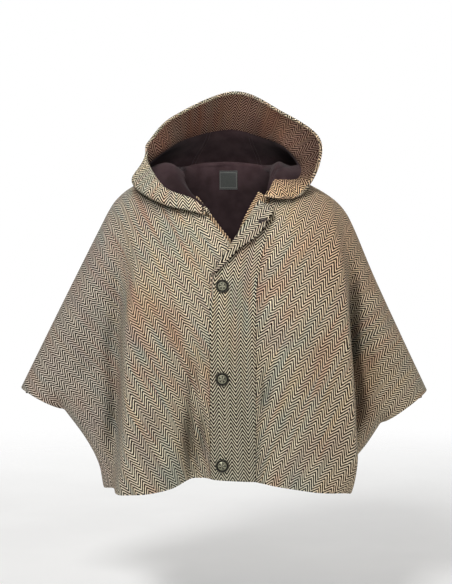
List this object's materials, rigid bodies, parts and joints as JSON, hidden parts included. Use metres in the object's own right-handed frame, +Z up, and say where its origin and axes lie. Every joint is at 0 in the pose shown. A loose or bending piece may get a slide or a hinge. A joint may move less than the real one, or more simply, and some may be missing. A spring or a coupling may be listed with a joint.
{
  "type": "hooded tweed cape",
  "caption": "Short hooded cape of herringbone tweed with open dolman sleeves, a buttoned front band turned back as a lapel, dark fleece lining and a bare woven label.",
  "frame": {"origin": "midway between the two shoulder points of the neck, where the wearer carries the cape", "axes": "+Z up, -Y towards the front, +X towards the wearer's left"},
  "size_m": [0.83, 0.3514, 0.8146],
  "materials": {
    "tweed": "woollen herringbone tweed, cream on dark brown with flecks of rust, teal and gold, matt",
    "facing_tweed": "herringbone tweed in darker red-brown, matt",
    "lining_fleece": "dark aubergine-brown fleece, napped, matt",
    "woven_label": "bare dark woven label, slight sheen",
    "antique_metal": "antiqued, hammered centre in a plain rim"
  },
  "bodies": {
    "root": {"front_right": "tweed", "front_left": "tweed", "back": "tweed", "button_band": "tweed", "hood_right": "tweed", "hood_centre": "tweed", "hood_left": "tweed", "hood_facing": "facing_tweed", "hood_lining_right": "lining_fleece", "hood_lining_centre": "lining_fleece", "hood_lining_left": "lining_fleece", "lining_back": "lining_fleece", "label": "woven_label", "button_1": "antique_metal", "button_2": "antique_metal", "button_3": "antique_metal"}
  },
  "joints": []
}
